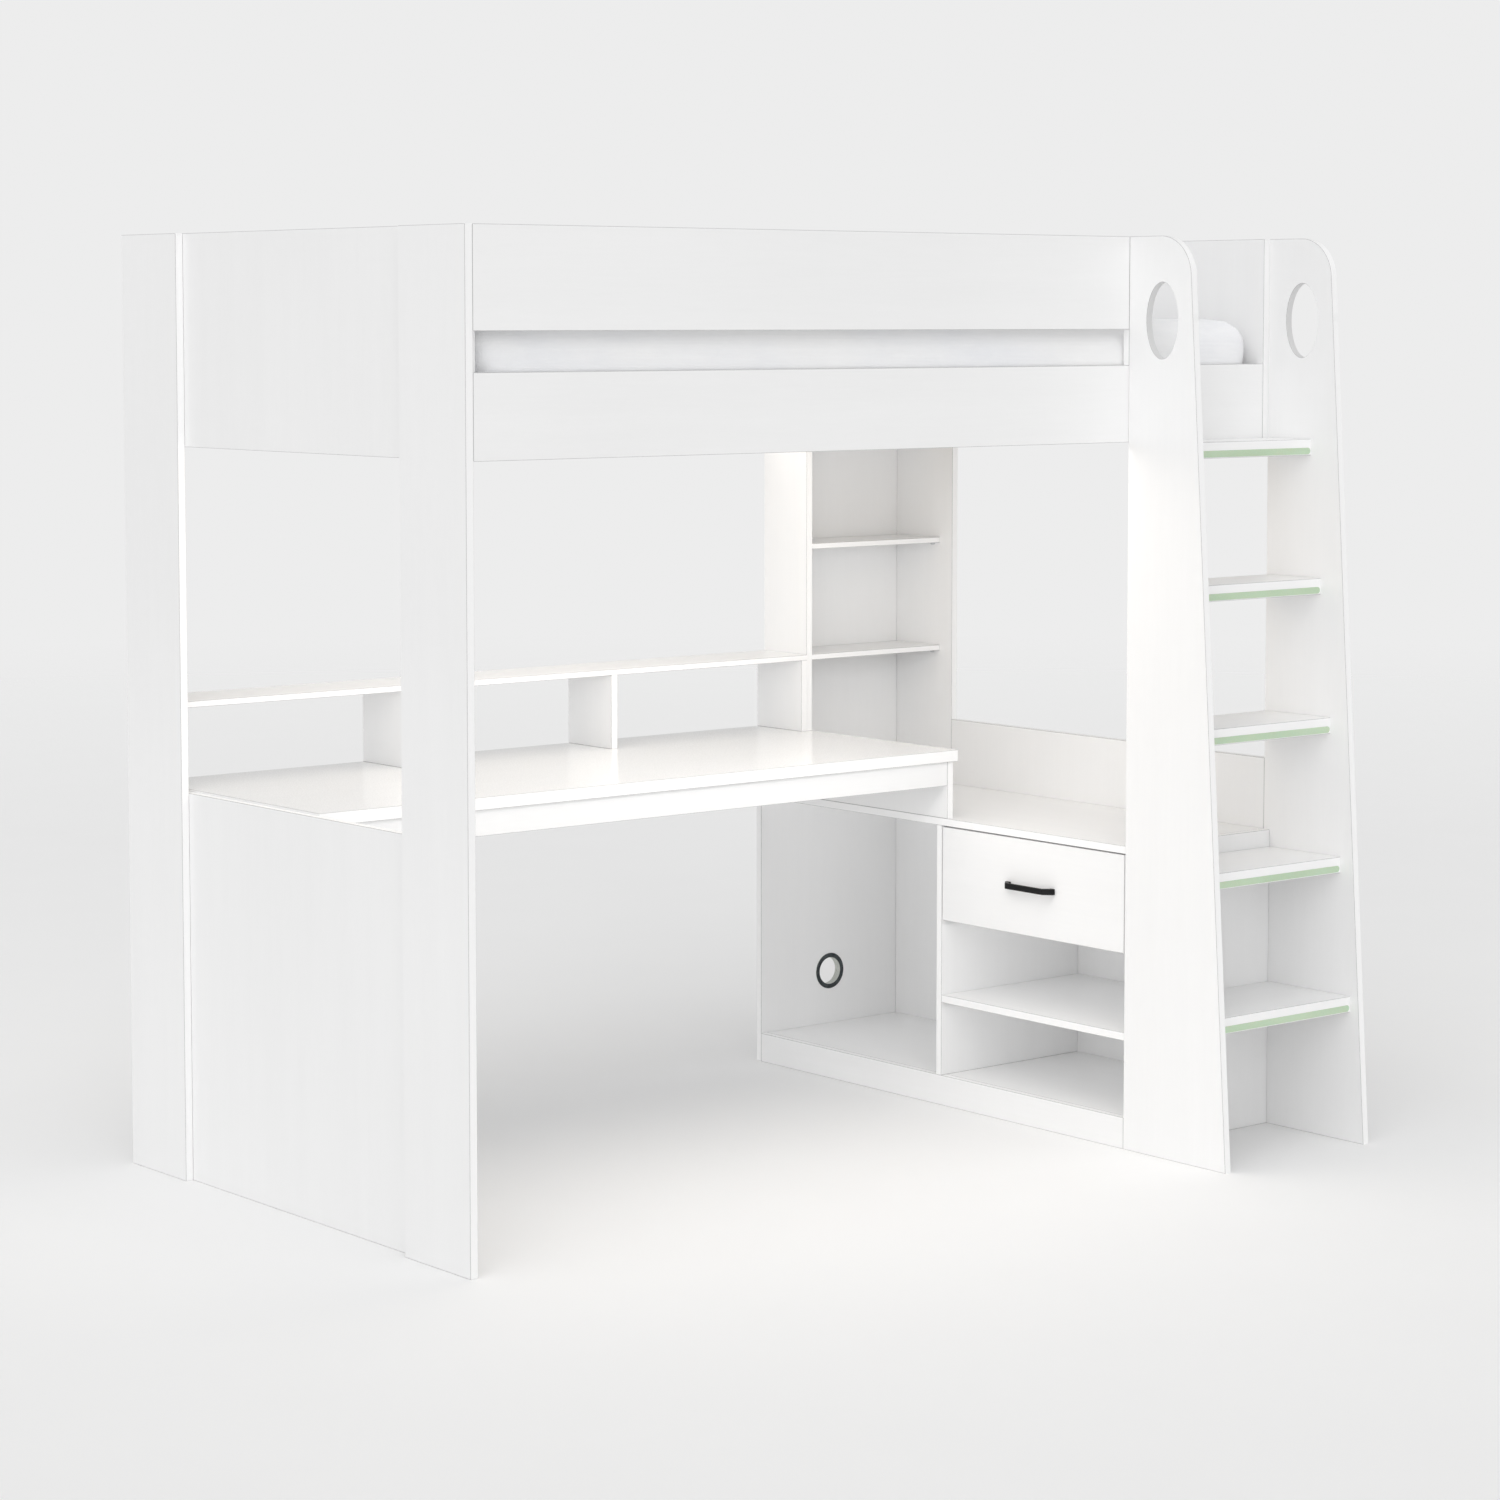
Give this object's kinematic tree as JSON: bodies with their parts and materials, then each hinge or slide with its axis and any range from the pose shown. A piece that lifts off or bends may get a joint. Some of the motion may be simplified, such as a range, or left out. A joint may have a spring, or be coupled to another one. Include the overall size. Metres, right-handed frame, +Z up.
{
  "type": "loft bed with desk",
  "caption": "High sleeper bed with guard rails and a side ladder of shelf steps over a desk with a riser shelf, a narrow bookcase and a storage cabinet with a sliding drawer.",
  "frame": {"origin": "on the floor, at the middle of the footprint of bed and ladder together", "axes": "+X along the bed towards the ladder end, +Y from the ladder side to the back of the bed, +Z up"},
  "size_m": [1.99, 1.416, 1.8],
  "materials": {
    "white_board": "white melamine faced board, satin",
    "slat_wood": "planed pine",
    "mattress_fabric": "knitted ticking",
    "glow_strip": "pale green luminous plastic",
    "grommet_metal": "dark brushed metal",
    "black_metal": "black powder coat",
    "zinc": "zinc plated",
    "drawer_sheet": "white faced hardboard"
  },
  "bodies": {
    "frame": {"bookcase_back": "white_board", "bookcase_shelf_lower": "white_board", "bookcase_shelf_upper": "white_board", "bookcase_side": "white_board", "bookcase_top": "white_board", "cabinet_bottom": "white_board", "cabinet_divider": "white_board", "cabinet_plinth": "white_board", "cabinet_shelf": "white_board", "cabinet_side_front": "white_board", "cabinet_side_rear": "white_board", "cabinet_top": "white_board", "cable_grommet": "grommet_metal", "cam_locks": "zinc", "desk_apron": "white_board", "desk_spacer": "white_board", "desk_top": "white_board", "end_panel_lower_left": "white_board", "end_panel_lower_right": "white_board", "end_panel_upper_left": "white_board", "end_panel_upper_right": "white_board", "glow_strips": "glow_strip", "guard_rail_front": "white_board", "guard_rail_rear": "white_board", "guard_upright": "white_board", "ladder_stringer_left": "white_board", "ladder_stringer_right": "white_board", "mattress": "mattress_fabric", "post_front_left": "white_board", "post_rear_left": "white_board", "post_rear_right": "white_board", "riser_shelf": "white_board", "riser_support_1": "white_board", "riser_support_2": "white_board", "riser_support_3": "white_board", "runner_outer_front": "zinc", "runner_outer_rear": "zinc", "shelf_pins": "zinc", "side_rail_front": "white_board", "side_rail_rear": "white_board", "slat_bearer_front": "slat_wood", "slat_bearer_rear": "slat_wood", "slats": "slat_wood", "step_1": "white_board", "step_2": "white_board", "step_3": "white_board", "step_4": "white_board", "step_5": "white_board"},
    "drawer": {"drawer_front": "white_board", "drawer_side_front": "white_board", "drawer_side_rear": "white_board", "drawer_back": "white_board", "drawer_bottom": "drawer_sheet", "handle": "black_metal", "handle_screws": "zinc", "runner_inner_front": "zinc", "runner_inner_rear": "zinc"},
    "runner_middle_front": {"runner_middle_front": "zinc"},
    "runner_middle_rear": {"runner_middle_rear": "zinc"}
  },
  "joints": [
    {"name": "drawer_slide", "type": "slide", "parent": "frame", "child": "drawer", "axis": [-1, 0, 0], "range_m": [0, 0.28]},
    {"name": "runner_front_slide", "type": "slide", "parent": "frame", "child": "runner_middle_front", "axis": [-1, 0, 0], "range_m": [0, 0.14]},
    {"name": "runner_rear_slide", "type": "slide", "parent": "frame", "child": "runner_middle_rear", "axis": [-1, 0, 0], "range_m": [0, 0.14]}
  ],
  "couplings": [
    {"joint": "runner_front_slide", "follows": "drawer_slide", "ratio": 0.5},
    {"joint": "runner_rear_slide", "follows": "drawer_slide", "ratio": 0.5}
  ]
}
